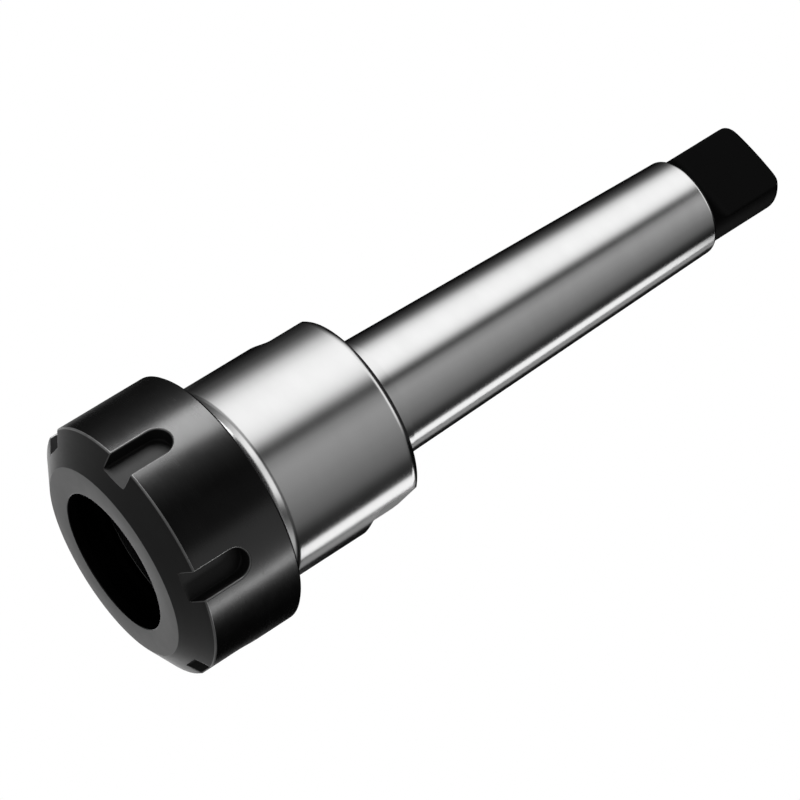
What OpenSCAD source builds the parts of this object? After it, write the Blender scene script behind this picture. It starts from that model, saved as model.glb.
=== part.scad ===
// Collet chuck holder: a Morse taper body and the clamping nut screwed on its nose.
// It stands on the front face of the nut. The origin is the centre of that face,
// and +Z runs along the axis to the tang.

/* [Nose thread] */
// Outside diameter of the thread
thread_d = 40; // [38:0.5:41]
// Pitch of the thread
thread_pitch = 1.5; // [1:0.25:2]
// Running clearance between nut and nose, on the radius
thread_gap = 0.05; // [0.02:0.01:0.1]

/* [Clamping nut] */
// Wall of the nut outside its thread
nut_wall = 5; // [4.5:0.5:8]
// Length of the nut
nut_l = 22.5; // [18:0.5:32]
// Diameter of the flat ring on the front, where the cone starts
front_ring_d = 38.2; // [34:0.2:44]
// Length of the cone between the front ring and the outside
front_cone_l = 3.6; // [1:0.2:6]
// Bevel on the nut's rear edge
nut_rear_bevel = 0.4; // [0.2:0.1:1.5]
// Thickness of the web that presses on the collet
web_l = 8.3; // [7.6:0.1:10]
// Diameter of the opening in the front
opening_d = 27.5; // [24:0.5:30]
// Length of the straight part of the opening
opening_l = 1.9; // [1:0.1:3]
// Length of the cone that bears on the collet
press_cone_l = 4.1; // [3:0.1:4.5]
// Angle of that cone to the axis
press_cone_angle = 30; // [25:1:35]
// Diameter inside the eccentric lip that pulls the collet out
lip_d = 31; // [29:0.2:33]
// Distance of the lip's centre from the axis
lip_offset = 1.2; // [0.4:0.1:1.8]
// Side towards which the lip's centre lies, in degrees from +X
lip_turn = -39; // [-180:1:180]
// Thickness of the lip at its inner edge
lip_l = 1; // [0.4:0.1:1.4]
// Depth to which the lip's hole is bored into the end of the cone
lip_lead = 0.2; // [0.1:0.1:0.4]

/* [Wrench slots in the nut] */
// Number of slots
slot_count = 6; // [4:1:8]
// Width of a slot
slot_w = 5.8; // [4:0.2:8]
// Depth of a slot
slot_depth = 3; // [1.5:0.1:4]
// Distance from the front face to the round end of a slot
slot_l = 14; // [10:0.5:16]
// Turn of the first slot, in degrees from +X
slot_turn = 3; // [-30:1:30]

/* [Collet seat] */
// Diameter of the seat at the nose
seat_d = 33; // [30:0.5:34]
// Angle of the seat to the axis
seat_angle = 8; // [7:0.5:9]
// Length of the seat
seat_l = 31; // [26:0.5:34]
// Diameter of the clearance bore behind the seat
clear_bore_d = 21; // [16:0.5:22]
// Length of the clearance bore
clear_bore_l = 6.4; // [4:0.2:8]
// Point angle of the drill that ends the bore
drill_point_angle = 118; // [110:1:140]

/* [Body] */
// Diameter of the body
body_d = 39.2; // [38.8:0.1:48]
// Length from the end of the thread relief to the rear shoulder
body_l = 28.8; // [26:0.1:45]
// Gap between nut and nose at the web, with the nut screwed home
web_gap = 0.3; // [0.1:0.1:0.6]
// Depth of the thread relief below the outside of the thread
relief_depth = 1.8; // [1.4:0.1:2.4]
// Length of the thread relief that shows behind the nut
relief_l = 2; // [1:0.1:4]
// Depth of the bevel on the body's front edge
front_bevel = 0.7; // [0.3:0.1:1]
// Length of that bevel
front_bevel_l = 1.6; // [0.5:0.1:3]
// Depth of the bevel on the rear shoulder
shoulder_bevel = 0.6; // [0.3:0.1:1.5]
// Length of that bevel
shoulder_bevel_l = 0.9; // [0.3:0.1:2]
// Depth of each wrench flat
flat_depth = 1.5; // [0.8:0.1:2.2]
// Full-depth length of a wrench flat, from the rear shoulder
flat_l = 8; // [6:0.5:14]
// Diameter of the cutter that leaves the flat's run-out
flat_cutter_d = 6.6; // [5:0.2:30]

/* [Morse taper] */
// Diameter at the gauge plane
gauge_d = 23.825; // [22:0.005:26]
// Distance from the rear shoulder to the gauge plane
gauge_gap = 5.5; // [4:0.5:7]
// Length over which the diameter shrinks by one
taper_ratio = 19.922; // [19:0.001:21]
// Length of the neck between shoulder and taper
neck_l = 5.1; // [4:0.1:8]
// Depth of the neck below the taper
neck_depth = 0.12; // [0.05:0.01:0.5]
// Length from the gauge plane to the small end of the taper
taper_l = 75; // [60:1:90]
// Axial length of the rounding on the small end
small_end_round = 1; // [0.5:0.1:3]

/* [Tang] */
// Diameter across the round sides of the tang
tang_d = 17.8; // [14:0.2:18.6]
// Thickness across the flats of the tang
tang_w = 7.9; // [6:0.1:10]
// Length of the tang behind the rounding of the taper
tang_l = 18; // [14:0.5:24]
// Length of each tang flat at full depth
tang_flat_l = 12.8; // [8:0.2:13]
// Radius of the run-out at the root of a tang flat
tang_root_r = 5; // [3:0.5:5]
// Radius on the corners of the tang
tang_corner_r = 2; // [0.5:0.1:4]
// Height of the crown on the tang's end
tang_crown = 0.3; // [0.1:0.1:0.6]
// Turn of the tang flats about the axis, in degrees
tang_turn = -13.4; // [-90:0.1:90]

/* [Hidden] */
$fn = 96;
overcut = 1;

// Nut
thread_r = thread_d / 2;
nut_r = thread_r + nut_wall;
nut_thread_r = thread_r + thread_gap;
nut_undercut_r = thread_r + 0.3 * thread_pitch;
nut_undercut_l = 1.5 * thread_pitch;
nut_countersink = 0.6 * thread_pitch;
press_cone_r = opening_d / 2 + press_cone_l * tan(press_cone_angle);
lip_z = opening_l + press_cone_l;
lip_relief_l = web_l - lip_z - lip_l;

// Body, from the nose back
nose_z = web_l + web_gap;
nose_bevel = 0.7 * thread_pitch;
thread_end_z = nut_l - nut_countersink;
relief_r = thread_r - relief_depth;
relief_end_z = nut_l + relief_l;
body_r = body_d / 2;
shoulder_z = relief_end_z + body_l;
seat_end_z = nose_z + seat_l;
seat_end_r = seat_d / 2 - seat_l * tan(seat_angle);
clear_bore_r = min(clear_bore_d / 2, seat_end_r);
clear_bore_end_z = seat_end_z + clear_bore_l;
drill_point_z = clear_bore_end_z + clear_bore_r / tan(drill_point_angle / 2);

// Shank, from the shoulder back
gauge_z = shoulder_z + gauge_gap;
neck_end_z = shoulder_z + neck_l;
small_end_z = gauge_z + taper_l;
tang_root_z = small_end_z + small_end_round;
tang_end_z = tang_root_z + tang_l;
tang_flat_z = tang_end_z - tang_crown - tang_flat_l;

// Radius of the Morse taper at height z
function taper_r(z) = gauge_d / 2 - (z - gauge_z) / taper_ratio / 2;

// Points on a quarter of an ellipse about (r, z), from the outside up to the end
function corner(r, z, reach, rise, steps = 6) =
    [for (i = [0 : steps]) [r + reach * cos(90 * i / steps), z + rise * sin(90 * i / steps)]];

// Points on a shallow arch over a face, from its rim at (r, z) to the axis
function crown(r, z, rise, steps = 6) =
    [for (i = [1 : steps]) [r * (1 - i / steps), z + rise * (1 - pow(1 - i / steps, 2))]];

// Cutter for one flat that is parallel to the axis and faces +X: it removes all beyond
// depth_r, from z on, and leaves a hollow of radius root_r at its lower end
module flat_cutter(depth_r, outer_r, z, length, root_r) {
    reach = outer_r + overcut;
    translate([depth_r, -reach, z])
        cube([reach, 2 * reach, length]);
    translate([depth_r + root_r, 0, z])
        rotate([90, 0, 0])
            cylinder(r = root_r, h = 2 * reach, center = true);
}

module body_turning() {
    small_end_r = taper_r(small_end_z);
    tang_r = tang_d / 2;
    rotate_extrude()
        polygon(concat(
            [
                [0, nose_z],
                [thread_r - nose_bevel, nose_z],
                [thread_r, nose_z + nose_bevel],
                [thread_r, thread_end_z],
                [relief_r, thread_end_z + relief_depth],
                [relief_r, relief_end_z],
                [body_r - front_bevel, relief_end_z],
                [body_r, relief_end_z + front_bevel_l],
                [body_r, shoulder_z - shoulder_bevel_l],
                [body_r - shoulder_bevel, shoulder_z],
                [taper_r(neck_end_z) - neck_depth, shoulder_z],
                [taper_r(neck_end_z) - neck_depth, neck_end_z - neck_depth],
                [taper_r(neck_end_z), neck_end_z]
            ],
            corner(tang_r, small_end_z, small_end_r - tang_r, small_end_round),
            corner(tang_r - tang_corner_r, tang_end_z - tang_crown - tang_corner_r, tang_corner_r, tang_corner_r),
            crown(tang_r - tang_corner_r, tang_end_z - tang_crown, tang_crown)
        ));
}

module seat_bore() {
    rotate_extrude()
        polygon([
            [0, nose_z - overcut],
            [seat_d / 2 + overcut * tan(seat_angle), nose_z - overcut],
            [seat_end_r, seat_end_z],
            [clear_bore_r, seat_end_z],
            [clear_bore_r, clear_bore_end_z],
            [0, drill_point_z]
        ]);
}

module chuck_body() {
    color("silver")
        difference() {
            body_turning();
            seat_bore();
            for (side = [0, 180])
                rotate([0, 0, side])
                    flat_cutter(body_r - flat_depth, body_r, shoulder_z - flat_l, flat_l, flat_cutter_d / 2);
            for (side = [-90, 90])
                rotate([0, 0, side + tang_turn])
                    flat_cutter(tang_w / 2, tang_d / 2, tang_flat_z, tang_flat_l + overcut, tang_root_r);
        }
}

module nut_turning() {
    rotate_extrude()
        polygon([
            [0, 0],
            [front_ring_d / 2, 0],
            [nut_r, front_cone_l],
            [nut_r, nut_l - nut_rear_bevel],
            [nut_r - nut_rear_bevel, nut_l],
            [nut_thread_r + nut_countersink, nut_l],
            [nut_thread_r, nut_l - nut_countersink],
            [nut_thread_r, web_l + nut_undercut_l],
            [nut_undercut_r, web_l + nut_undercut_l],
            [nut_undercut_r, web_l],
            [0, web_l]
        ]);
}

module press_cone() {
    translate([0, 0, opening_l])
        cylinder(r1 = opening_d / 2, r2 = press_cone_r, h = press_cone_l);
}

// Hole through the eccentric lip: straight at its edge, then opening out towards the thread
module lip_hole() {
    rotate([0, 0, lip_turn])
        translate([lip_offset, 0, lip_z - lip_lead]) {
            cylinder(d = lip_d, h = lip_l + lip_lead);
            translate([0, 0, lip_l + lip_lead])
                cylinder(d1 = lip_d, d2 = lip_d + 2 * lip_relief_l + 2 * overcut, h = lip_relief_l + overcut);
        }
}

module wrench_slot() {
    floor_r = nut_r - slot_depth;
    end_r = slot_w / 2;
    translate([floor_r, -end_r, -overcut])
        cube([slot_depth + overcut, slot_w, slot_l - end_r + overcut]);
    translate([floor_r, 0, slot_l - end_r])
        rotate([0, 90, 0])
            cylinder(r = end_r, h = slot_depth + overcut);
}

module clamping_nut() {
    color("dimgray")
        difference() {
            nut_turning();
            translate([0, 0, -overcut])
                cylinder(d = opening_d, h = web_l + 2 * overcut);
            press_cone();
            lip_hole();
            for (i = [0 : slot_count - 1])
                rotate([0, 0, slot_turn + i * 360 / slot_count])
                    wrench_slot();
        }
}

chuck_body();
clamping_nut();
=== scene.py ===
"""Collet chuck holder: looks of the turned body and the slotted clamping nut, and the studio around them."""
import math

import bmesh
import bpy
from mathutils import Matrix, Vector
from mathutils.geometry import delaunay_2d_cdt


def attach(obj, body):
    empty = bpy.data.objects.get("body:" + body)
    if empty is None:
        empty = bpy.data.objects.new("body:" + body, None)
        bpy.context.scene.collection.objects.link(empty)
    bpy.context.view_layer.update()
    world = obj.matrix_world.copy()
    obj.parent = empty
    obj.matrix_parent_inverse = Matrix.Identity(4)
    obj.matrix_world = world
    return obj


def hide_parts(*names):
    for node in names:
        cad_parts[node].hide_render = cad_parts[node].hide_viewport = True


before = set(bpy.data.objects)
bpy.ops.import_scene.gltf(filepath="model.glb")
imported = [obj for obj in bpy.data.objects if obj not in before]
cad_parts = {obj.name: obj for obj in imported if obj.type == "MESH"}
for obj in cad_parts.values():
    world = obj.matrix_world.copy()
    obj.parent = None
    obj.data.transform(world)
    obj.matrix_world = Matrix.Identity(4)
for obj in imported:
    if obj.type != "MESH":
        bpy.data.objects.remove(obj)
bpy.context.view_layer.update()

MM = 0.001

# Less than this counts as nothing
TINY = 1e-6

# Points closer than this fall together: in metres in a mesh, and in mm in a flat pattern
MERGE = 1e-6
FLAT_MERGE = 1e-7

# Sizes in mm and angles, as in the CAD part
THREAD_R = 20.0
THREAD_PITCH = 1.5
THREAD_GAP = 0.05
NUT_R = 25.0
NUT_L = 22.5
RING_R = 19.1
CONE_L = 3.6
NUT_REAR_BEVEL = 0.4
NUT_COUNTERSINK = 0.9
WEB_L = 8.3
OPENING_R = 13.75
OPENING_L = 1.9
PRESS_CONE_L = 4.1
PRESS_CONE_SLOPE = math.tan(math.radians(30))
LIP_R = 15.5
LIP_OFFSET = 1.2
LIP_TURN = math.radians(-39)
LIP_L = 1.0
LIP_LEAD = 0.2
UNDERCUT_R = 20.45
UNDERCUT_END_Z = 10.55
SLOT_COUNT = 6
SLOT_HALF_W = 2.9
SLOT_FLOOR_X = 22.0
SLOT_L = 14.0
SLOT_TURN = math.radians(3)
NOSE_Z = 8.6
NOSE_BEVEL = 1.05
THREAD_END_Z = 21.6
RELIEF_R = 18.2
RELIEF_END_Z = 24.5
FRONT_BEVEL = 0.7
FRONT_BEVEL_L = 1.6
BODY_R = 19.6
SHOULDER_Z = 53.3
SHOULDER_BEVEL = 0.6
SHOULDER_BEVEL_L = 0.9
SEAT_R = 16.5
SEAT_END_R = 12.143
SEAT_END_Z = 39.6
CLEAR_BORE_R = 10.5
CLEAR_BORE_END_Z = 46.0
DRILL_POINT_Z = 52.309
FLAT_X = 18.1
FLAT_Z = 45.3
FLAT_CUTTER_R = 3.3
GAUGE_R = 11.9125
GAUGE_Z = 58.8
TAPER_RATIO = 19.922
NECK_END_Z = 58.4
NECK_DEPTH = 0.12
SMALL_END_Z = 133.8
SMALL_END_ROUND = 1.0
TANG_R = 8.9
TANG_HALF_W = 3.95
TANG_FLAT_Z = 139.7
TANG_ROOT_R = 5.0
TANG_CORNER_R = 2.0
TANG_SIDE_END_Z = 152.5
TANG_CROWN = 0.3
TANG_TURN = math.radians(-13.4)

# Roundings in mm that the eye sees on edges, finer than the CAD part has them
EDGE_ROUND = 0.2
SHOULDER_ROUND = 2.4
FRONT_ROUND = 2.4
ROOT_ROUND = 0.3
NECK_ROUND = 0.5
NECK_RAMP_L = 1.5
CONE_EDGE_ROUND = 0.45
RING_EDGE_ROUND = 0.3
SLOT_EDGE_ROUND = 0.28
SLOT_FLOOR_ROUND = 0.35
WEB_ROUND = 0.1
UNDERCUT_ROUND = 0.3
TANG_EDGE_ROUND = 0.4
ARC_STEP = math.radians(14)
SHARP_ANGLE = math.radians(20)

# The thread's turns, which the CAD part leaves out. Root and flank are shares of half a pitch
THREAD_DEPTH = 0.92
THREAD_ROOT_SHARE = 0.25
THREAD_FLANK_SHARE = 0.625
NUT_THREAD_MINOR_R = 19.24

# The side of a turned surface on which a thread is cut
ON_ROD = 1.0
IN_BORE = -1.0

# Which points the thread moves, in mm: how far in from its crest, and how far short of its ends. The last
# two say how far short of its ends the edges are shaded smooth
THREAD_REACH = 2.0
THREAD_MARGIN = 0.01
CRISP_MARGIN = 0.05
NUT_REAR_MARGIN = 0.3

# How finely the surfaces are divided
BODY_SEGMENTS = 256
NUT_SEGMENTS_PER_SLOT = 40
THREAD_ROWS_PER_PITCH = 16
THREAD_ROW = THREAD_PITCH / THREAD_ROWS_PER_PITCH
TANG_ROOT_ROW = 0.105

# The nut's slotted skin in mm, from its front end to its rear end
SKIN_START_Z = 1.0
SKIN_END_Z = 15.5
SLOT_STRAIGHT_END_Z = SLOT_L - SLOT_HALF_W

# Round a slot lies a rim, so many times as wide as its edge is rounded. The skin's points keep clear of it
SLOT_BESIDE = 1.25
SKIN_CLEARANCE = 0.25
SLOT_MARGIN = SLOT_EDGE_ROUND * SLOT_BESIDE + SKIN_CLEARANCE
MOUTH_MARGIN = 0.1

# Rows up a slot's side, by height over its mouth, and the height from which it takes the skin's rows
MOUTH_ROWS = (0, 0.12, 0.25)
MOUTH_ROWS_END = 0.35

# Where a finish starts: the depth in mm of an edge that is rubbed and painted with a highlight, and parts of
# a face's normal
WORN_AND_HIGHLIGHT_DEPTH = 0.02
FLAT_NORMAL_Y = 0.05
SHOULDER_NORMAL_Z = 0.9
MOUTH_NORMAL_Z = -0.1

# The finishes of each piece, by their places in its list
GROUND, TANG_BLACK, SEAT_SHADE, MILLED = range(4)
SKIN_OXIDE, RING_OXIDE, SLOT_OXIDE, CONE_OXIDE, EDGE_OXIDE = range(5)

# Camera: the photograph's viewing angle, fitted to the object's edges
CAMERA_TARGET = (2.610, 0.267, 62.940)
CAMERA_AZIMUTH = math.radians(-84.4)
CAMERA_ELEVATION = math.radians(-23.693)
CAMERA_DISTANCE = 577.306
CAMERA_ROLL = math.radians(57.904)
CAMERA_LENS = 141.912
CAMERA_SENSOR = 36.0
CAMERA_CLIP_START = 0.01

# Brightness of the surroundings by azimuth in degrees from the camera's, above and below the horizon
UPPER_LIGHT = {
    -180: 0.0, -155: 0.0, -140: 0.02, -128: 0.05, -114: 0.15, -104: 0.4, -95: 0.8, -85: 1.14, -77: 1.33,
    -66: 1.41, -50: 1.43, -41: 1.36, -34: 1.22, -28: 0.97, -21: 0.45, -15: 0.12, -9: 0.10, -2: 0.29, 4: 0.37,
    11: 0.43, 20: 0.41, 37: 0.33, 51: 0.26, 66: 0.19, 74: 0.14, 83: 0.06, 92: 0.02, 100: 0.0, 180: 0.0,
}
LOWER_LIGHT = {
    -180: 0.9, -150: 1.0, -128: 0.5, -118: 0.08, -100: 0.1, -80: 0.25, -62: 0.6, -45: 1.05, -22: 1.35,
    -6: 1.0, 10: 1.1, 28: 1.1, 46: 0.23, 66: 0.2, 85: 0.58, 105: 0.5, 125: 0.7, 150: 1.0, 180: 0.9,
}
LIGHT_PEAK = 2.0

# Bands of the surroundings: brightness, and the sine of the elevation at which each fades in and out. Dusk
# is the share of light that its band takes away. Behind the object the horizon lies higher, by its rise
HORIZON = (-0.12, 0.0)
HORIZON_RISE = 0.18
DUSK = 0.65
DUSK_FROM = (-0.16, -0.06)
DUSK_TO = (0.12, 0.22)
GLOW_LIGHT = 2.5
GLOW_FROM = (-0.25, -0.05)
GLOW_TO = (0.22, 0.34)
HALO_LIGHT = 1.2
HALO_FROM = (0.64, 0.7)
ZENITH_LIGHT = 0.02
ZENITH_FROM = (0.83, 0.89)

# Directions as shares of a turn: the camera's own, how far from it is behind, and the halo's two ends
TOWARD_CAMERA = 0.5
BEHIND_FROM = (0.4, 0.46)
HALO_TURN_FROM = (0.15, 0.3)
HALO_TURN_TO = (0.55, 0.72)

# Panels that light one piece alone. For each panel, in degrees as the piece's middle sees it: azimuth from
# the camera's, width, elevation and height, and then its brightness. Distances and heights are in mm
NUT_PANELS = [(-61.5, 30, 19, 30, 44.0), (76, 6, 19, 30, 46.0), (48, 44, 19, 30, 3.0)]
NUT_PANEL_DISTANCE = 300.0
NUT_MIDDLE_Z = NUT_L / 2
BODY_PANELS = [(112, 18, 24, 27, 1.45), (132, 16, 24, 27, 0.33)]
BODY_PANEL_DISTANCE = 1000.0
BODY_MIDDLE_Z = 80.0

# The floor: half its width in metres, its height in mm, its grey level and its own light
FLOOR_HALF_W = 2.0
FLOOR_Z = 0.02
FLOOR_GREY = 0.85
FLOOR_GLOW = 0.35


# Formulas on sockets

class Value:
    """A socket that takes part in a formula: each operator adds a Math node."""

    def __init__(self, graph, socket):
        self.graph = graph
        self.socket = socket

    def math(self, operation, *terms):
        return self.graph.node("ShaderNodeMath", {"operation": operation}, dict(enumerate(terms)))

    def output(self, name):
        return Value(self.graph, self.socket.node.outputs[name])

    def __add__(self, other):
        return self.math("ADD", self, other)

    def __radd__(self, other):
        return self.math("ADD", other, self)

    def __sub__(self, other):
        return self.math("SUBTRACT", self, other)

    def __rsub__(self, other):
        return self.math("SUBTRACT", other, self)

    def __mul__(self, other):
        return self.math("MULTIPLY", self, other)

    def __rmul__(self, other):
        return self.math("MULTIPLY", other, self)

    def __truediv__(self, other):
        return self.math("DIVIDE", self, other)


class Graph:
    """One node tree, of a material, the world or a geometry modifier."""

    def __init__(self, tree):
        self.tree = tree

    def node(self, kind, settings=None, sockets=None, output=0):
        """Adds a node and gives one of its outputs; a value in sockets is linked, anything else is set."""
        made = self.tree.nodes.new(kind)
        for name, setting in (settings or {}).items():
            if name == "stops":
                fill_ramp(made.color_ramp, setting)
            else:
                setattr(made, name, setting)
        for name, value in (sockets or {}).items():
            if isinstance(value, Value):
                self.tree.links.new(value.socket, made.inputs[name])
            else:
                made.inputs[name].default_value = value
        return Value(self, made.outputs[output]) if made.outputs else None

    def ramp(self, value, low, high):
        """0 below low, 1 above high and smooth between them."""
        settings = {"interpolation_type": "SMOOTHSTEP"}
        sockets = {"Value": value, "From Min": low, "From Max": high}
        return self.node("ShaderNodeMapRange", settings, sockets)

    def band(self, value, fade_in, fade_out):
        """1 between two ramps, each given as its low and high end, and 0 outside them."""
        return self.ramp(value, *fade_in) * (1 - self.ramp(value, *fade_out))

    def mix_colour(self, factor, first, second):
        """Mixes two colours. The node has sockets of every kind, so the colours' are found by number."""
        sockets = {0: factor, 6: first, 7: second}
        return self.node("ShaderNodeMix", {"data_type": "RGBA"}, sockets, output=2)

    def mix(self, factor, first, second):
        """Mixes two numbers, whose sockets are also found by number."""
        return self.node("ShaderNodeMix", {"data_type": "FLOAT"}, {0: factor, 2: first, 3: second})


def fill_ramp(ramp, stops):
    """Sets a colour ramp to the grey levels in stops, a table of position to level."""
    ramp.interpolation = "CARDINAL"
    while len(ramp.elements) > 1:
        ramp.elements.remove(ramp.elements[-1])
    for i, (position, level) in enumerate(sorted(stops.items())):
        element = ramp.elements[0] if i == 0 else ramp.elements.new(position)
        element.position = position
        element.color = grey(level)


def grey(level):
    return (level, level, level, 1)


# Outlines

def arc(centre, start, end, steps):
    """Points on the arc about centre from start to end, the short way round."""
    first = Vector(start) - Vector(centre)
    last = Vector(end) - Vector(centre)
    sweep = first.angle(last)
    points = []
    for k in range(steps + 1):
        t = k / steps
        blend = first * math.sin((1 - t) * sweep) + last * math.sin(t * sweep)
        points.append(Vector(centre) + blend / math.sin(sweep))
    return points


def rounded(corners):
    """Outline through corners given as (radius, height) or (radius, height, rounding)."""
    points = []
    for i, corner in enumerate(corners):
        here = Vector(corner[:2])
        if len(corner) == 2:
            points.append(here)
            continue
        before = (Vector(corners[i - 1][:2]) - here).normalized()
        after = (Vector(corners[i + 1][:2]) - here).normalized()
        turn = math.pi - before.angle(after)
        reach = corner[2] * math.tan(turn / 2)
        centre = here + (before + after).normalized() * corner[2] / math.cos(turn / 2)
        steps = max(2, math.ceil(turn / ARC_STEP))
        points += arc(centre, here + before * reach, here + after * reach, steps)
    return points


def straight(radius, start, end, spacing):
    """Points on a cylinder's side from height start to end, spacing apart; both ends are left out."""
    count = round(abs(end - start) / spacing)
    return [(radius, start + (end - start) * k / count) for k in range(1, count)]


def taper_r(z):
    return GAUGE_R - (z - GAUGE_Z) / TAPER_RATIO / 2


def crown_z(radius):
    share = radius / (TANG_R - TANG_CORNER_R)
    return TANG_SIDE_END_Z + TANG_CROWN * (1 - share ** 2)


def tang_outline(small_r):
    """The outline from the crown of the tang down to its root, where it rounds over into the taper's end."""
    crown_steps = 12
    corner_steps = 8
    end_steps = 8
    crown_r = TANG_R - TANG_CORNER_R
    corner_z = TANG_SIDE_END_Z - TANG_CORNER_R
    end_z = SMALL_END_Z + SMALL_END_ROUND
    crown = []
    for k in range(crown_steps):
        radius = crown_r * (k / crown_steps)
        crown.append((radius, crown_z(radius)))
    corner = arc((crown_r, corner_z), (crown_r, TANG_SIDE_END_Z), (TANG_R, corner_z), corner_steps)
    root = straight(TANG_R, TANG_FLAT_Z + EDGE_ROUND, end_z, TANG_ROOT_ROW)
    end = []
    for k in range(end_steps + 1):
        angle = math.pi / 2 * (1 - k / end_steps)
        radius = TANG_R + (small_r - TANG_R) * math.cos(angle)
        end.append((radius, SMALL_END_Z + SMALL_END_ROUND * math.sin(angle)))
    return crown + corner + root + end


def body_outline():
    """The body's outline from the crown of the tang, down its outside and up through the seat."""
    small_r = taper_r(SMALL_END_Z)
    neck_r = taper_r(NECK_END_Z) - NECK_DEPTH
    nose_bevel_z = NOSE_Z + NOSE_BEVEL
    bevel_rows = 8
    outside = rounded([
        (small_r, SMALL_END_Z),
        (taper_r(NECK_END_Z), NECK_END_Z, NECK_ROUND),
        (neck_r, NECK_END_Z - NECK_RAMP_L, NECK_ROUND),
        (neck_r, SHOULDER_Z, ROOT_ROUND),
        (BODY_R - SHOULDER_BEVEL, SHOULDER_Z, EDGE_ROUND),
        (BODY_R, SHOULDER_Z - SHOULDER_BEVEL_L, SHOULDER_ROUND),
        (BODY_R, RELIEF_END_Z + FRONT_BEVEL_L, FRONT_ROUND),
        (BODY_R - FRONT_BEVEL, RELIEF_END_Z, EDGE_ROUND),
        (RELIEF_R, RELIEF_END_Z, ROOT_ROUND),
        (RELIEF_R, THREAD_END_Z + THREAD_R - RELIEF_R, ROOT_ROUND),
        (THREAD_R, THREAD_END_Z),
        (THREAD_R, THREAD_END_Z - THREAD_ROW),
    ])[1:-1]
    thread = straight(THREAD_R, THREAD_END_Z, nose_bevel_z, THREAD_ROW)
    bevel = []
    for k in range(bevel_rows + 1):
        drop = NOSE_BEVEL * k / bevel_rows
        bevel.append((THREAD_R - drop, nose_bevel_z - drop))
    inside = rounded([
        (THREAD_R - NOSE_BEVEL, NOSE_Z),
        (SEAT_R, NOSE_Z, EDGE_ROUND),
        (SEAT_END_R, SEAT_END_Z, EDGE_ROUND),
        (CLEAR_BORE_R, SEAT_END_Z, EDGE_ROUND),
        (CLEAR_BORE_R, CLEAR_BORE_END_Z, EDGE_ROUND),
        (0, DRILL_POINT_Z),
    ])[1:]
    return tang_outline(small_r) + outside + thread + bevel + inside


# Meshes and modifiers

def linked(name, mesh):
    made = bpy.data.objects.new(name, mesh)
    bpy.context.scene.collection.objects.link(made)
    return made


def mesh_of(bm, name):
    """The finished mesh. The working one is freed."""
    mesh = bpy.data.meshes.new(name)
    bm.to_mesh(mesh)
    bm.free()
    return mesh


def merge_doubles(bm):
    """Joins points that fall together, and takes out the slivers."""
    bmesh.ops.remove_doubles(bm, verts=bm.verts, dist=MERGE)
    bmesh.ops.dissolve_degenerate(bm, edges=bm.edges, dist=MERGE)


def tidy_surface(bm):
    """Joins doubles and turns all faces outwards."""
    merge_doubles(bm)
    bmesh.ops.recalc_face_normals(bm, faces=bm.faces)


def join_rings(bm, low, high):
    """Faces between two rings of points, either of which may be a single point on the axis."""
    count = max(len(low), len(high))
    for k in range(count):
        after = (k + 1) % count
        if len(low) == 1:
            bm.faces.new((low[0], high[k], high[after]))
        elif len(high) == 1:
            bm.faces.new((low[k], low[after], high[0]))
        else:
            bm.faces.new((low[k], low[after], high[after], high[k]))


def baked(target):
    """Replaces the object's mesh by what its modifiers make of it, and takes them off."""
    bpy.context.view_layer.update()
    evaluated = target.evaluated_get(bpy.context.evaluated_depsgraph_get())
    mesh = bpy.data.meshes.new_from_object(evaluated)
    target.modifiers.clear()
    target.data = mesh


def geometry_graph(name, values):
    """A Geometry Nodes graph with an input for each value, its input node and the inputs' identifiers."""
    tree = bpy.data.node_groups.new(name, "GeometryNodeTree")
    tree.interface.new_socket("Geometry", in_out="INPUT", socket_type="NodeSocketGeometry")
    tree.interface.new_socket("Geometry", in_out="OUTPUT", socket_type="NodeSocketGeometry")
    identifiers = {}
    for title, value in values.items():
        kind = "NodeSocketInt" if isinstance(value, int) else "NodeSocketFloat"
        made = tree.interface.new_socket(title, in_out="INPUT", socket_type=kind)
        identifiers[title] = made.identifier
    graph = Graph(tree)
    return graph, graph.node("NodeGroupInput"), identifiers


def bake_graph(target, graph, values, identifiers):
    """Runs a Geometry Nodes graph on the object with its inputs set, and keeps what it makes."""
    modifier = target.modifiers.new(graph.tree.name, "NODES")
    modifier.node_group = graph.tree
    for title, value in values.items():
        modifier[identifiers[title]] = value
    baked(target)


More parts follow.
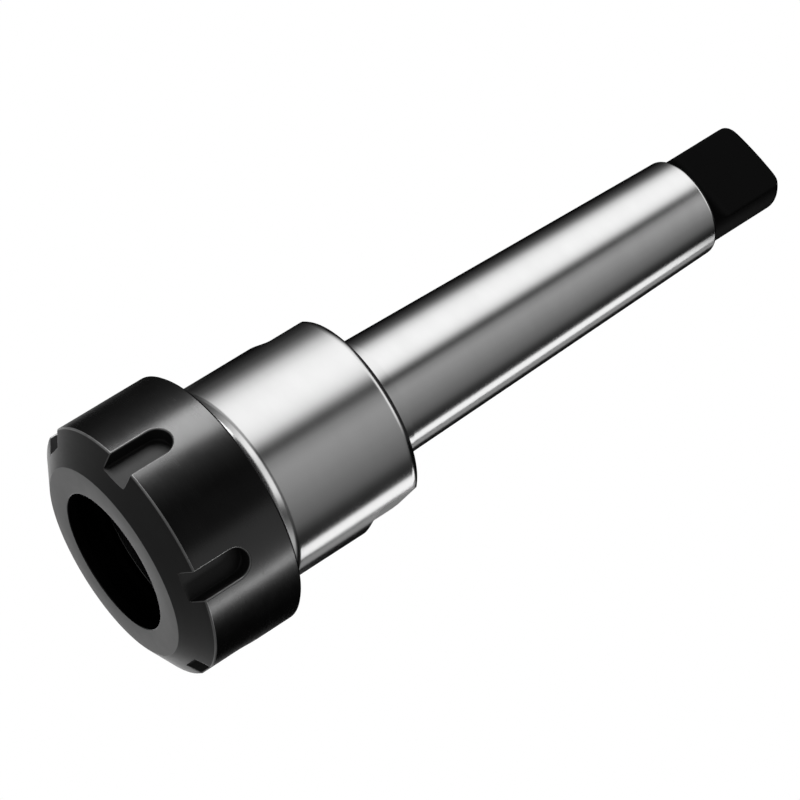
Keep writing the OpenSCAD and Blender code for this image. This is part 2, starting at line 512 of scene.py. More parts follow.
def cut_thread(target, crest_r, start, end, side, finish):
    """Cuts the helical thread into the rows of a turned surface, on a rod or in a bore."""
    values = {
        "Pitch": THREAD_PITCH * MM,
        "Crest Radius": crest_r * MM,
        "Depth": THREAD_DEPTH * MM,
        "Start": start * MM,
        "End": end * MM,
        "Side": side,
    }
    graph, given, identifiers = geometry_graph("thread_turns", values)
    side_sign = given.output("Side")
    place = graph.node("GeometryNodeInputPosition")
    xyz = graph.node("ShaderNodeSeparateXYZ", None, {0: place})
    x, y, z = xyz.output("X"), xyz.output("Y"), xyz.output("Z")
    radius = x.math("SQRT", x * x + y * y)
    turn = x.math("ARCTAN2", y, x) / math.tau
    phase = x.math("FRACT", z / given.output("Pitch") - turn)
    from_root = x.math("ABSOLUTE", phase - 0.5) * 2
    flank = graph.node("ShaderNodeMapRange", None, {
        "Value": from_root,
        "From Min": THREAD_ROOT_SHARE,
        "From Max": THREAD_ROOT_SHARE + THREAD_FLANK_SHARE,
    })
    thread = given.output("Crest Radius") - given.output("Depth") * (1 - flank)
    wanted = x.math("MINIMUM", radius * side_sign, thread * side_sign) * side_sign
    ratio = wanted / x.math("MAXIMUM", radius, TINY)
    moved = graph.node("ShaderNodeCombineXYZ", None, {"X": x * ratio, "Y": y * ratio, "Z": z})
    within = x.math("GREATER_THAN", z, given.output("Start")) * x.math("LESS_THAN", z, given.output("End"))
    near = x.math("GREATER_THAN", radius, (crest_r - THREAD_REACH) * MM)
    shifted = graph.node("GeometryNodeSetPosition", None, {
        "Geometry": given.output("Geometry"), "Selection": within * near, "Position": moved,
    })
    solid = graph.node("GeometryNodeRealizeInstances", None, {0: shifted})
    finished = graph.node("GeometryNodeSetMaterial", None, {
        "Geometry": solid, "Selection": within * near, "Material": finish,
    })
    graph.node("NodeGroupOutput", None, {0: finished})
    bake_graph(target, graph, values, identifiers)


def smooth_shading(mesh, crisp_from, crisp_to):
    """Smooth faces with crisp edges.

    Between the two heights no edge is crisp, because the thread's turns cross the rows there.
    """
    mesh.shade_smooth()
    mesh.set_sharp_from_angle(angle=SHARP_ANGLE)
    sharp = mesh.attributes.get("sharp_edge")
    if sharp is None:
        return
    for edge in mesh.edges:
        height = mesh.vertices[edge.vertices[0]].co.z
        if crisp_from * MM < height < crisp_to * MM:
            sharp.data[edge.index].value = False


# Turned body

def tang_half_width(z):
    """Half the thickness that the tang's cutter leaves at height z."""
    if z >= TANG_FLAT_Z:
        return TANG_HALF_W
    below = TANG_FLAT_Z - z
    if below >= TANG_ROOT_R:
        return TANG_R + TANG_ROOT_R
    return TANG_HALF_W + TANG_ROOT_R - math.sqrt(TANG_ROOT_R ** 2 - below ** 2)


def between_flats(radius, z, angle):
    """Distance from the axis of the tang's skin: the smaller of two, blended where they meet on an edge."""
    half = tang_half_width(z)
    toward = abs(math.sin(angle - TANG_TURN))
    flat = half / max(toward, TINY)
    edge = TANG_EDGE_ROUND
    overlap = max(edge - abs(radius - flat), 0) / edge
    return min(radius, flat) - overlap ** 2 * edge / 4


def tang_angles():
    """Directions of the body's points: even ones, and more of them close to the tang's long edges."""
    step = math.tau / BODY_SEGMENTS
    extra_step = step / 3
    least_step = step / 5
    extra = 4
    angles = [k * step for k in range(BODY_SEGMENTS)]
    edge = math.asin(TANG_HALF_W / TANG_R)
    for corner in (edge, math.pi - edge, math.pi + edge, math.tau - edge):
        centre = (corner + TANG_TURN) % math.tau
        for k in range(-extra, extra + 1):
            angles.append((centre + k * extra_step) % math.tau)
    kept = []
    for angle in sorted(angles):
        if not kept or angle - kept[-1] > least_step:
            kept.append(angle)
    return kept


def turned_body_mesh():
    """The body as turned, with the tang's two flats."""
    bm = bmesh.new()
    angles = tang_angles()
    rings = []
    for radius, z in body_outline():
        if radius < TINY:
            rings.append([bm.verts.new((0, 0, z * MM))])
            continue
        ring = []
        for angle in angles:
            r, height = radius, z
            if z > SMALL_END_Z:
                r = between_flats(radius, z, angle)
                if z >= TANG_SIDE_END_Z:
                    height = crown_z(r)
            ring.append(bm.verts.new((r * math.cos(angle) * MM, r * math.sin(angle) * MM, height * MM)))
        rings.append(ring)
    for low, high in zip(rings, rings[1:]):
        join_rings(bm, low, high)
    tidy_surface(bm)
    return mesh_of(bm, "turned_body")


def flat_cutter_mesh():
    """Two milling cutters' paths: a plane parallel to the axis and the cutter's round at its lower end."""
    bm = bmesh.new()
    centre_x = FLAT_X + FLAT_CUTTER_R
    reach = 30.0
    over_shoulder = 5.0
    round_steps = 48
    top = SHOULDER_Z + over_shoulder
    outline = [(FLAT_X, top)]
    outline += arc((centre_x, FLAT_Z), (FLAT_X, FLAT_Z), (centre_x, FLAT_Z - FLAT_CUTTER_R), round_steps)
    outline += [(centre_x, top)]
    for side in (1, -1):
        ends = []
        for y in (-reach, reach):
            ends.append([bm.verts.new((side * x * MM, y * MM, z * MM)) for x, z in outline])
        join_rings(bm, ends[0], ends[1])
        for end in ends:
            bm.faces.new(end)
    bmesh.ops.recalc_face_normals(bm, faces=bm.faces)
    return mesh_of(bm, "flat_cutter")


def holder_body(finish):
    """The hardened and ground body: tang, taper, neck, round body, thread relief, nose thread and seat."""
    body = linked("holder_body", turned_body_mesh())
    cut_thread(body, THREAD_R, NOSE_Z + THREAD_MARGIN, THREAD_END_Z, ON_ROD, finish)
    cutter = linked("flat_cutter", flat_cutter_mesh())
    boolean = body.modifiers.new("flats", "BOOLEAN")
    boolean.operation = "DIFFERENCE"
    boolean.solver = "EXACT"
    boolean.object = cutter
    baked(body)
    bpy.data.objects.remove(cutter)
    smooth_shading(body.data, NOSE_Z + CRISP_MARGIN, THREAD_END_Z)
    return body


# Slotted nut

class Skin:
    """The nut's outside from the cone to the cylinder: its radius and the length along it at a height."""

    def __init__(self):
        cone_rows, corner_rows, cylinder_rows, end_rows = 4, 5, 10, 7
        slope = Vector((NUT_R - RING_R, CONE_L)).normalized()
        turn = math.acos(slope.y)
        reach = CONE_EDGE_ROUND * math.tan(turn / 2)
        self.arc_end_z = CONE_L + reach
        self.arc_start_z = CONE_L - reach * slope.y
        cone = self.spread(SKIN_START_Z, self.arc_start_z, cone_rows)
        corner = self.spread(self.arc_start_z, self.arc_end_z, corner_rows)
        cylinder = self.spread(self.arc_end_z, SLOT_STRAIGHT_END_Z, cylinder_rows)
        end = self.spread(SLOT_STRAIGHT_END_Z, SKIN_END_Z, end_rows)
        self.rows = cone + corner + cylinder + end + [SKIN_END_Z]
        self.lengths = [0.0]
        for low, high in zip(self.rows, self.rows[1:]):
            step = Vector((self.radius(high) - self.radius(low), high - low)).length
            self.lengths.append(self.lengths[-1] + step)

    @staticmethod
    def spread(start, end, count):
        return [start + (end - start) * k / count for k in range(count)]

    def radius(self, z):
        if z <= self.arc_start_z:
            return RING_R + (NUT_R - RING_R) * z / CONE_L
        if z >= self.arc_end_z:
            return NUT_R
        return NUT_R - CONE_EDGE_ROUND + math.sqrt(CONE_EDGE_ROUND ** 2 - (self.arc_end_z - z) ** 2)

    def x(self, y, z):
        return math.sqrt(self.radius(z) ** 2 - y ** 2)

    def flat(self, y, z):
        """The point (y, z) on the skin laid flat."""
        i = max(k for k in range(len(self.rows) - 1) if self.rows[k] <= z + TINY)
        share = (z - self.rows[i]) / (self.rows[i + 1] - self.rows[i])
        along = self.lengths[i] + share * (self.lengths[i + 1] - self.lengths[i])
        return Vector((math.asin(y / self.radius(z)) * NUT_R, along))


def slot_path(skin, mouth_z):
    """Points up one side of a slot, round its end and down the other: (y, z) and the way out of the slot."""
    end_steps = 28
    side = [mouth_z + row for row in MOUTH_ROWS]
    side += [z for z in skin.rows if mouth_z + MOUTH_ROWS_END < z < SLOT_STRAIGHT_END_Z - TINY]
    path = [(-SLOT_HALF_W, z, -1.0, 0.0) for z in side]
    for k in range(end_steps + 1):
        angle = math.pi * (1 - k / end_steps)
        across, up = math.cos(angle), math.sin(angle)
        path.append((SLOT_HALF_W * across, SLOT_STRAIGHT_END_Z + SLOT_HALF_W * up, across, up))
    path += [(SLOT_HALF_W, z, 1.0, 0.0) for z in reversed(side)]
    return path


def cone_floor_z(y):
    """Height at which the slot's floor comes out of the cone."""
    return (math.hypot(SLOT_FLOOR_X, y) - RING_R) * CONE_L / (NUT_R - RING_R)


def slot_column(skin, y, z, out_y, out_z):
    """Points across a slot's wall, from the skin beside it over its rounded edge and down to the floor."""
    steps = 5
    largest_share = 0.45
    depth = max(skin.x(y, z) - SLOT_FLOOR_X, 0)
    edge = min(SLOT_EDGE_ROUND, largest_share * depth)
    root = min(SLOT_FLOOR_ROUND, largest_share * depth)
    y_out, z_out = y + out_y * edge * SLOT_BESIDE, z + out_z * edge * SLOT_BESIDE
    column = [(y_out, z_out, skin.x(y_out, z_out))]
    for k in range(steps + 1):
        angle = math.pi / 2 * k / steps
        reach = edge * (1 - math.sin(angle))
        y_here, z_here = y + out_y * reach, z + out_z * reach
        column.append((y_here, z_here, skin.x(y_here, z_here) - edge * (1 - math.cos(angle))))
    for k in range(steps + 1):
        angle = math.pi / 2 * k / steps
        reach = root * (1 - math.cos(angle))
        column.append((y - out_y * reach, z - out_z * reach, SLOT_FLOOR_X + root * (1 - math.sin(angle))))
    return column


def mouth_points():
    """Points along the line where a slot's floor comes out of the cone, between its two sides."""
    steps = 12
    points = []
    for k in range(1, steps):
        y = SLOT_HALF_W * (1 - 2 * k / steps)
        points.append((y, cone_floor_z(y), SLOT_FLOOR_X))
    return points


def sector_vert(bm, y, z, x):
    return bm.verts.new((x * MM, y * MM, z * MM))


def fill(bm, verts, flat, edges, loop, inside):
    """Triangles over flat points that keep the given edges, on one side of the clockwise loop only."""
    whole_hull = 0
    found = delaunay_2d_cdt(flat, edges, [loop[::-1]], whole_hull, FLAT_MERGE, True)
    triangles, made_from, in_loop = found[2], found[3], found[5]
    for corners, origin in zip(triangles, in_loop):
        if bool(origin) != inside:
            continue
        picked = [verts[made_from[corner][0]] for corner in corners]
        if len(set(picked)) == 3 and not bm.faces.get(picked):
            bm.faces.new(picked)


def height_key(z):
    """A height as the key of a table, rounded to 5 digits."""
    return round(z, 5)


def skin_points(bm, skin, path, mouth_z, verts, flat):
    """Adds the skin's points beside a slot to verts and flat, and gives the edges along its rows."""
    half_angle = math.pi / SLOT_COUNT
    sides = {}
    for i, (_, z, out_y, out_z) in enumerate(path):
        if out_z == 0:
            sides[(out_y < 0, height_key(z))] = i
    edges = []
    for z in skin.rows:
        left, right = [], []
        radius = skin.radius(z)
        for k in range(NUT_SEGMENTS_PER_SLOT + 1):
            angle = half_angle * (2 * k / NUT_SEGMENTS_PER_SLOT - 1)
            y = radius * math.sin(angle)
            above = max(z - SLOT_STRAIGHT_END_Z, 0)
            away = math.hypot(y, above) - SLOT_HALF_W
            if z > mouth_z - SLOT_MARGIN and away < SLOT_MARGIN and z >= mouth_z - MOUTH_MARGIN:
                continue
            verts.append(sector_vert(bm, y, z, radius * math.cos(angle)))
            flat.append(Vector((angle * NUT_R, skin.flat(0, z).y)))
            (left if y < 0 else right).append(len(verts) - 1)
        if z < mouth_z - MOUTH_MARGIN:
            chains = [left + right]
        else:
            key = height_key(z)
            if (True, key) in sides:
                left.append(sides[(True, key)])
                right.insert(0, sides[(False, key)])
            chains = [left, right] if z < SLOT_STRAIGHT_END_Z + TINY else []
        for chain in chains:
            edges += list(zip(chain, chain[1:]))
    return edges


def slot_sector_mesh(skin):
    """One sixth of the nut's outside, with a wrench slot at +X in its middle."""
    bm = bmesh.new()
    mouth_z = cone_floor_z(SLOT_HALF_W)
    path = slot_path(skin, mouth_z)
    columns = [slot_column(skin, *step) for step in path]
    grid = [[sector_vert(bm, *point) for point in column] for column in columns]
    for left, right in zip(grid, grid[1:]):
        for k in range(len(left) - 1):
            bm.faces.new((left[k], left[k + 1], right[k + 1], right[k]))
    mouth = mouth_points()
    mouth_verts = [sector_vert(bm, *point) for point in mouth]

    verts = [line[0] for line in grid] + mouth_verts
    flat = [skin.flat(*column[0][:2]) for column in columns] + [skin.flat(*point[:2]) for point in mouth]
    loop = list(range(len(verts)))
    edges = skin_points(bm, skin, path, mouth_z, verts, flat)
    fill(bm, verts, flat, edges, loop, False)

    floor_verts = [line[-1] for line in grid] + mouth_verts
    floor_flat = [Vector((made.co.y / MM, made.co.z / MM)) for made in floor_verts]
    fill(bm, floor_verts, floor_flat, [], list(range(len(floor_verts))), True)
    merge_doubles(bm)
    return mesh_of(bm, "slot_sector")


def repeat_sector(target, finish):
    """Sets the slotted sector round the axis as often as there are slots."""
    values = {"Slots": SLOT_COUNT, "First Turn": SLOT_TURN}
    graph, given, identifiers = geometry_graph("slots_round_nut", values)
    slots = given.output("Slots")
    points = graph.node("GeometryNodePoints", None, {"Count": slots, "Position": (0, 0, 0)})
    index = graph.node("GeometryNodeInputIndex")
    angle = given.output("First Turn") + index * math.tau / slots
    rotation = graph.node("ShaderNodeCombineXYZ", None, {"Z": angle})
    sector = graph.node("GeometryNodeGeometryToInstance", None, {0: given.output("Geometry")})
    placed = graph.node("GeometryNodeInstanceOnPoints", None, {
        "Points": points, "Instance": sector, "Rotation": rotation,
    })
    solid = graph.node("GeometryNodeRealizeInstances", None, {0: placed})
    merged = graph.node("GeometryNodeMergeByDistance", None, {"Geometry": solid, "Distance": MERGE})
    finished = graph.node("GeometryNodeSetMaterial", None, {"Geometry": merged, "Material": finish})
    graph.node("NodeGroupOutput", None, {0: finished})
    bake_graph(target, graph, values, identifiers)


def lip_radius(angle, radius):
    """Distance from the nut's axis to a circle about the lip's centre."""
    off = angle - LIP_TURN
    return LIP_OFFSET * math.cos(off) + math.sqrt(radius ** 2 - (LIP_OFFSET * math.sin(off)) ** 2)


def nut_web(angle):
    """Corners from the undercut over the web, the lip and the opening to the ring in front.

    Where the lip doesn't stand in past the pressing cone, the cone ends early, by LIP_LEAD at most.
    """
    lip_r = lip_radius(angle, LIP_R)
    lip_z = OPENING_L + PRESS_CONE_L
    relief_r = lip_radius(angle, LIP_R + WEB_L - lip_z - LIP_L)
    cone_end_r = OPENING_R + PRESS_CONE_L * PRESS_CONE_SLOPE
    early_r = cone_end_r - LIP_LEAD * PRESS_CONE_SLOPE
    cone_r = cone_end_r - (min(max(lip_r, early_r), cone_end_r) - early_r)
    cone_z = OPENING_L + (cone_r - OPENING_R) / PRESS_CONE_SLOPE
    return [
        (UNDERCUT_R, UNDERCUT_END_Z, WEB_ROUND),
        (UNDERCUT_R, WEB_L, UNDERCUT_ROUND),
        (relief_r, WEB_L, WEB_ROUND),
        (lip_r, lip_z + LIP_L, WEB_ROUND),
        (lip_r, cone_z),
        (cone_r, cone_z),
        (OPENING_R, OPENING_L, WEB_ROUND),
        (OPENING_R, 0, EDGE_ROUND),
        (RING_R, 0, RING_EDGE_ROUND),
        (NUT_R, CONE_L),
    ]


def nut_inside(angle):
    """The nut's outline at one angle, from its rear edge through the thread and web to the ring in front."""
    minor = NUT_THREAD_MINOR_R
    mouth_r = THREAD_R + THREAD_GAP + NUT_COUNTERSINK
    sink_end_z = NUT_L - (mouth_r - minor)
    sink_rows = 14
    rear = rounded([
        (NUT_R, SKIN_END_Z),
        (NUT_R, NUT_L - NUT_REAR_BEVEL, EDGE_ROUND / 2),
        (NUT_R - NUT_REAR_BEVEL, NUT_L, EDGE_ROUND / 2),
        (mouth_r, NUT_L, EDGE_ROUND / 2),
        (minor, sink_end_z),
    ])[:-1]
    sink = []
    for k in range(1, sink_rows + 1):
        share = k / sink_rows
        sink.append((mouth_r + (minor - mouth_r) * share, NUT_L + (sink_end_z - NUT_L) * share))
    thread = straight(minor, sink_end_z, UNDERCUT_END_Z, THREAD_ROW) + [(minor, UNDERCUT_END_Z)]
    web = rounded([(minor, UNDERCUT_END_Z)] + nut_web(angle))[1:-1]
    return rear + sink + thread + web


def clamping_nut(skin, finish):
    """The black oxidised nut: six wrench slots outside, the thread, web and eccentric lip inside."""
    nut = linked("slotted_nut", slot_sector_mesh(skin))
    repeat_sector(nut, finish)
    bm = bmesh.new()
    bm.from_mesh(nut.data)
    count = NUT_SEGMENTS_PER_SLOT * SLOT_COUNT
    step = math.tau / count
    first = SLOT_TURN - math.pi / SLOT_COUNT
    skin_start = (skin.radius(SKIN_START_Z), SKIN_START_Z)
    columns = []
    for k in range(count):
        angle = first + k * step
        across, along = math.cos(angle), math.sin(angle)
        outline = nut_inside(angle) + [skin_start]
        columns.append([bm.verts.new((r * across * MM, r * along * MM, z * MM)) for r, z in outline])
    rings = list(zip(*columns))
    for low, high in zip(rings, rings[1:]):
        join_rings(bm, low, high)
    tidy_surface(bm)
    nut.data = mesh_of(bm, "slotted_nut")
    thread_start, thread_end = UNDERCUT_END_Z + THREAD_MARGIN, NUT_L - THREAD_MARGIN
    cut_thread(nut, THREAD_R + THREAD_GAP, thread_start, thread_end, IN_BORE, finish)
    smooth_shading(nut.data, UNDERCUT_END_Z + CRISP_MARGIN, NUT_L - NUT_REAR_MARGIN)
    return nut


# Finishes

def new_material(name):
    material = bpy.data.materials.new(name)
    material.use_nodes = True
    material.node_tree.nodes.clear()
    return material, Graph(material.node_tree)


def surface(graph, shader):
    graph.node("ShaderNodeOutputMaterial", None, {"Surface": shader})


def turned_grain(graph, fine, round_the_axis):
    """Noise in long streaks that run round the axis, as turning and grinding leave them."""
    place = graph.node("ShaderNodeTexCoord", output="Object")
    stretch = graph.node("ShaderNodeVectorMath", {"operation": "MULTIPLY"}, {
        0: place, 1: (round_the_axis, round_the_axis, fine),
    })
    return graph.node("ShaderNodeTexNoise", None, {"Vector": stretch, "Scale": 1.0, "Detail": 3.0})


def bump(graph, height, distance, strength):
    """Bumps as high as distance in metres."""
    return graph.node("ShaderNodeBump", None, {
        "Height": height, "Distance": distance, "Strength": strength,
    })


def ground_steel():
    """Hardened steel, cylindrically ground and polished, with very fine lines round the axis."""
    dark, light = grey(0.60), grey(0.66)
    roughness, from_lines, from_cloud = 0.13, 0.04, 0.03
    material, graph = new_material("ground_steel")
    lines = turned_grain(graph, fine=9000, round_the_axis=60)
    cloud = turned_grain(graph, fine=260, round_the_axis=120)
    shader = graph.node("ShaderNodeBsdfPrincipled", None, {
        "Base Color": graph.mix_colour(cloud, dark, light),
        "Metallic": 1.0,
        "Roughness": roughness + lines * from_lines + cloud * from_cloud,
        "Normal": bump(graph, lines, distance=2e-6, strength=0.15),
    })
    surface(graph, shader)
    return material


def milled_steel():
    """The wrench flats and the shoulder's face: the same steel, duller, straight off the milling cutter."""
    dark, light = grey(0.66), grey(0.74)
    roughness, from_lines = 0.42, 0.1
    material, graph = new_material("milled_steel")
    lines = turned_grain(graph, fine=2500, round_the_axis=500)
    shader = graph.node("ShaderNodeBsdfPrincipled", None, {
        "Base Color": graph.mix_colour(lines, dark, light),
        "Metallic": 1.0,
        "Roughness": roughness + lines * from_lines,
        "Normal": bump(graph, lines, distance=3e-6, strength=0.3),
    })
    surface(graph, shader)
    return material


def painted_shade_seat():
    """The seat and the nose's face: ground steel painted dark as shade, since little light reaches inside
    the body.
    """
    dark, light = grey(0.035), grey(0.05)
    roughness, from_cloud = 0.2, 0.05
    material, graph = new_material("painted_shade_seat")
    cloud = turned_grain(graph, fine=300, round_the_axis=200)
    shader = graph.node("ShaderNodeBsdfPrincipled", None, {
        "Base Color": graph.mix_colour(cloud, dark, light),
        "Metallic": 1.0,
        "Roughness": roughness + cloud * from_cloud,
    })
    surface(graph, shader)
    return material


def oxide(name, dark, light, roughness, specular, depth):
    """Black oxide on steel: grey levels, roughness, gloss and the depth of the grain in metres."""
    from_grain = 0.06
    material, graph = new_material(name)
    lines = turned_grain(graph, fine=4000, round_the_axis=400)
    cloud = turned_grain(graph, fine=300, round_the_axis=300)
    shader = graph.node("ShaderNodeBsdfPrincipled", None, {
        "Base Color": graph.mix_colour(cloud, grey(dark), grey(light)),
        "Roughness": roughness + lines * from_grain + cloud * from_grain,
        "Specular IOR Level": specular,
        "Normal": bump(graph, lines, distance=depth, strength=0.3),
    })
    surface(graph, shader)
    return material


def black_oxide():
    """The nut's skin, ground before it was oxidised."""
    return oxide("black_oxide", dark=0.0004, light=0.0008, roughness=0.2, specular=0.1, depth=1e-6)


def matte_oxide():
    """The nut's front ring, faced and left matte."""
    return oxide("matte_oxide", dark=0.016, light=0.022, roughness=0.42, specular=0.32, depth=5e-6)


def turned_oxide():
    """The nut's front cone, turned with a coarser feed."""
    return oxide("turned_oxide", dark=0.004, light=0.007, roughness=0.42, specular=0.1, depth=6e-6)


def worn_and_highlight_oxide():
    """The nut's outer edges, rubbed lighter in use and made lighter still with a painted highlight along
    them.
    """
    return oxide("worn_and_highlight_oxide", dark=0.01, light=0.045, roughness=0.3, specular=0.4, depth=5e-6)


def milled_oxide():
    """The walls and floors of the wrench slots, milled and dull."""
    return oxide("milled_oxide", dark=0.003, light=0.006, roughness=0.42, specular=0.04, depth=4e-6)


def blackened_tang():
    """The tang's black skin, left from hardening."""
    return oxide("blackened_tang", dark=0.0006, light=0.0012, roughness=0.42, specular=0.04, depth=4e-6)


# Studio

def light_by_azimuth(graph, azimuth, table):
    """Brightness read from a table of degrees to level; azimuth is a share of a turn."""
    stops = {degrees / 360 + TOWARD_CAMERA: level / LIGHT_PEAK for degrees, level in table.items()}
    found = graph.node("ShaderNodeValToRGB", {"stops": stops}, {"Fac": azimuth})
    return found * LIGHT_PEAK


def studio_light(graph):
    """Brightness of the surroundings in a direction, as the object's surfaces see it."""
    way = graph.node("ShaderNodeTexCoord", output="Generated")
    xyz = graph.node("ShaderNodeSeparateXYZ", None, {0: way})
    azimuth = xyz.math("ARCTAN2", xyz.output("Y"), xyz.output("X")) - CAMERA_AZIMUTH
    turned = xyz.math("FRACT", azimuth / math.tau + (1 + TOWARD_CAMERA))
    height = xyz.output("Z")
    upper = light_by_azimuth(graph, turned, UPPER_LIGHT)
    lower = light_by_azimuth(graph, turned, LOWER_LIGHT)
    behind = graph.ramp(xyz.math("ABSOLUTE", turned - TOWARD_CAMERA), *BEHIND_FROM)
    horizon = graph.ramp(height - behind * HORIZON_RISE, *HORIZON)
    dusk = graph.band(height, DUSK_FROM, DUSK_TO)
    around = graph.mix(horizon, lower, upper) * (1 - dusk * DUSK)
    around = around + GLOW_LIGHT * behind * graph.band(height, GLOW_FROM, GLOW_TO)
    halo = HALO_LIGHT * graph.band(turned, HALO_TURN_FROM, HALO_TURN_TO)
    raised = graph.mix(graph.ramp(height, *HALO_FROM), around, halo)
    return graph.mix(graph.ramp(height, *ZENITH_FROM), raised, ZENITH_LIGHT)


def studio_surroundings():
    """White behind the object, and soft light round it that only its surfaces see."""
    world = bpy.data.worlds.new("studio")
    world.use_nodes = True
    world.node_tree.nodes.clear()
    graph = Graph(world.node_tree)
    level = studio_light(graph)
    seen = graph.node("ShaderNodeBackground", None, {"Color": grey(1), "Strength": 1.0})
    soft = graph.node("ShaderNodeBackground", None, {"Color": grey(1), "Strength": level})
    camera_ray = graph.node("ShaderNodeLightPath", output="Is Camera Ray")
    both = graph.node("ShaderNodeMixShader", None, {0: camera_ray, 1: soft, 2: seen})
    graph.node("ShaderNodeOutputWorld", None, {"Surface": both})
    bpy.context.scene.world = world


def span(distance, degrees):
    """Width of what takes up so many degrees at a distance."""
    return 2 * distance * math.tan(math.radians(degrees) / 2)


def panels(lit, table, middle_z, distance):
    """Soft panels that stand round the axis and light only the piece lit."""
    receivers = bpy.data.collections.new(f"lit_{lit.name}")
    receivers.objects.link(lit)
    for degrees, width, elevation, tall, brightness in table:
        name = f"panel_{lit.name}_{degrees:.0f}"
        light = bpy.data.lights.new(name, "AREA")
        light.shape = "RECTANGLE"
        light.size = span(distance, width) * MM
        light.size_y = span(distance, tall) * MM
        light.energy = brightness * math.pi * light.size * light.size_y
        azimuth = CAMERA_AZIMUTH + math.radians(degrees)
        rise = math.tan(math.radians(elevation))
        way = Vector((math.cos(azimuth), math.sin(azimuth), rise))
        panel = bpy.data.objects.new(name, light)
        panel.location = (way * distance + Vector((0, 0, middle_z))) * MM
        panel.rotation_euler = way.to_track_quat("Z", "Y").to_euler()
        panel.visible_camera = False
        bpy.context.scene.collection.objects.link(panel)
        panel.light_linking.receiver_collection = receivers


def floor_finish():
    """Pale and softly glowing from above, and clear from below, since the photograph looks up past it."""
    material, graph = new_material("pale_floor")
    pale = graph.node("ShaderNodeBsdfPrincipled", None, {
        "Base Color": grey(FLOOR_GREY),
        "Roughness": 1.0,
        "Specular IOR Level": 0.0,
        "Emission Color": grey(1),
        "Emission Strength": FLOOR_GLOW,
    })
    clear = graph.node("ShaderNodeBsdfTransparent")
    below = graph.node("ShaderNodeNewGeometry", output="Backfacing")
    surface(graph, graph.node("ShaderNodeMixShader", None, {0: below, 1: pale, 2: clear}))
    return material


def pale_floor():
    """A pale floor under the nut's face. It rides on the nut, which stands on it in every pose."""
    half, height = FLOOR_HALF_W, FLOOR_Z * MM
    corners = [(-half, -half, height), (half, -half, height), (half, half, height), (-half, half, height)]
    mesh = bpy.data.meshes.new("floor")
    mesh.from_pydata(corners, [], [(0, 1, 2, 3)])
    mesh.materials.append(floor_finish())
    floor = linked("floor", mesh)
    floor.visible_glossy = False
    floor.visible_diffuse = False
    floor.visible_shadow = False
    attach(floor, "clamping_nut")


def photo_camera():
    """The camera at the photograph's viewing angle."""
    level = Vector((math.cos(CAMERA_AZIMUTH), math.sin(CAMERA_AZIMUTH), 0))
    away = level * math.cos(CAMERA_ELEVATION) + Vector((0, 0, math.sin(CAMERA_ELEVATION)))
    level_right = Vector((0, 0, 1)).cross(away).normalized()
    level_up = away.cross(level_right)
    right = level_right * math.cos(CAMERA_ROLL) + level_up * math.sin(CAMERA_ROLL)
    up = level_up * math.cos(CAMERA_ROLL) - level_right * math.sin(CAMERA_ROLL)
    data = bpy.data.cameras.new("photo_camera")
    data.sensor_width = CAMERA_SENSOR
    data.lens = CAMERA_LENS
    data.clip_start = CAMERA_CLIP_START
    camera = bpy.data.objects.new("photo_camera", data)
    turned = Matrix((right, up, away)).transposed().to_4x4()
    place = Vector(CAMERA_TARGET) * MM + away * CAMERA_DISTANCE * MM
    camera.matrix_world = Matrix.Translation(place) @ turned
    bpy.context.scene.collection.objects.link(camera)
    bpy.context.scene.camera = camera


# The object

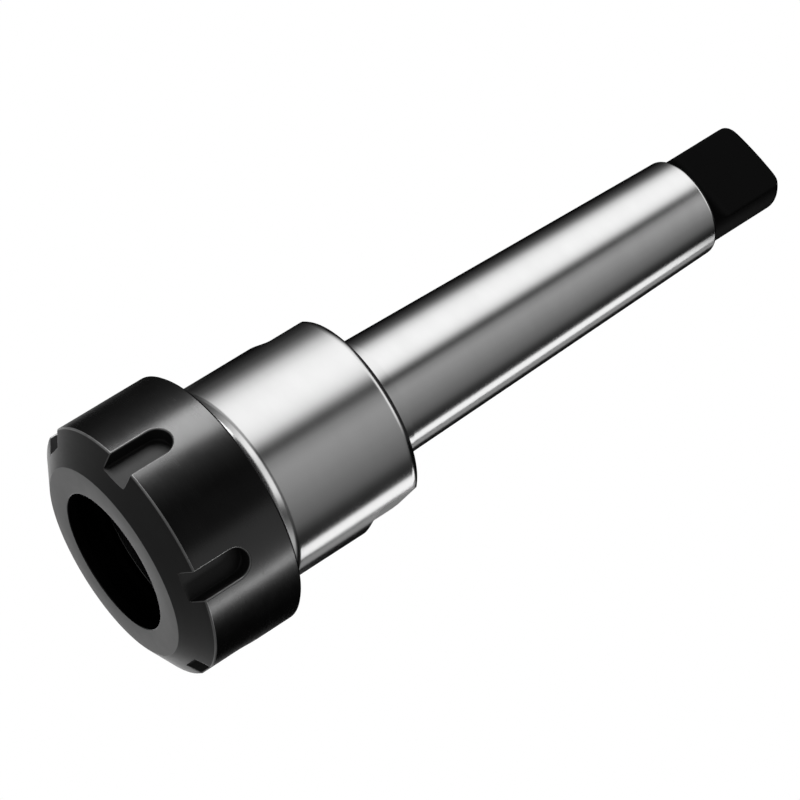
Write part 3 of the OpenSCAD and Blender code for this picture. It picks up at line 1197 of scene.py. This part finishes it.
def body_zone(face):
    """Which of the body's finishes a face has."""
    x, y, z = (part / MM for part in face.center)
    radius = math.hypot(x, y)
    if z > SMALL_END_Z + SMALL_END_ROUND - EDGE_ROUND:
        return TANG_BLACK
    # The seat and the nose's face take the painted shade finish, darker than the steel round them.
    if z < NOSE_Z + TINY or (z < SHOULDER_Z and radius < SEAT_R + EDGE_ROUND):
        return SEAT_SHADE
    if z > SHOULDER_Z - TINY and face.normal.z > SHOULDER_NORMAL_Z:
        return MILLED
    under_skin = radius < BODY_R - EDGE_ROUND / 10
    if abs(face.normal.y) < FLAT_NORMAL_Y and under_skin and FLAT_Z - FLAT_CUTTER_R < z < SHOULDER_Z:
        return MILLED
    return GROUND


def nut_zone(face, skin):
    """Which of the nut's finishes a face has."""
    x, y, z = (part / MM for part in face.center)
    radius = math.hypot(x, y)
    if z < EDGE_ROUND / 10:
        return RING_OXIDE if radius > OPENING_R + EDGE_ROUND / 2 else SKIN_OXIDE
    depth = skin.radius(z) - radius
    if depth > NUT_R - SLOT_FLOOR_X + EDGE_ROUND:
        return SKIN_OXIDE
    in_mouth = z < skin.arc_start_z and face.normal.z > MOUTH_NORMAL_Z
    in_slot = z < SLOT_L + EDGE_ROUND and depth > SLOT_EDGE_ROUND
    if in_mouth or in_slot:
        return SLOT_OXIDE
    # Rounded slot edges and the rounding between cone and cylinder: rubbed wear plus a painted highlight
    # line.
    on_slot_edge = z < SKIN_END_Z and depth > WORN_AND_HIGHLIGHT_DEPTH
    if on_slot_edge or skin.arc_start_z < z < skin.arc_end_z:
        return EDGE_OXIDE
    return CONE_OXIDE if z < skin.arc_start_z else SKIN_OXIDE


def dress_body():
    """The body with its finishes, in the order of their places."""
    steel = ground_steel()
    body = holder_body(steel)
    body.data.materials.clear()
    for finish in (steel, blackened_tang(), painted_shade_seat(), milled_steel()):
        body.data.materials.append(finish)
    for face in body.data.polygons:
        face.material_index = body_zone(face)
    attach(body, "chuck_body")
    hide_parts("chuck_body")
    return body


def dress_nut():
    """The nut with its finishes, in the order of their places."""
    skin = Skin()
    oxide_skin = black_oxide()
    nut = clamping_nut(skin, oxide_skin)
    nut.data.materials.clear()
    for finish in (oxide_skin, matte_oxide(), milled_oxide(), turned_oxide(), worn_and_highlight_oxide()):
        nut.data.materials.append(finish)
    for face in nut.data.polygons:
        face.material_index = nut_zone(face, skin)
    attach(nut, "clamping_nut")
    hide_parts("clamping_nut")
    return nut


panels(dress_body(), BODY_PANELS, BODY_MIDDLE_Z, BODY_PANEL_DISTANCE)
panels(dress_nut(), NUT_PANELS, NUT_MIDDLE_Z, NUT_PANEL_DISTANCE)
studio_surroundings()
pale_floor()
photo_camera()
bpy.context.scene.view_settings.view_transform = "Standard"
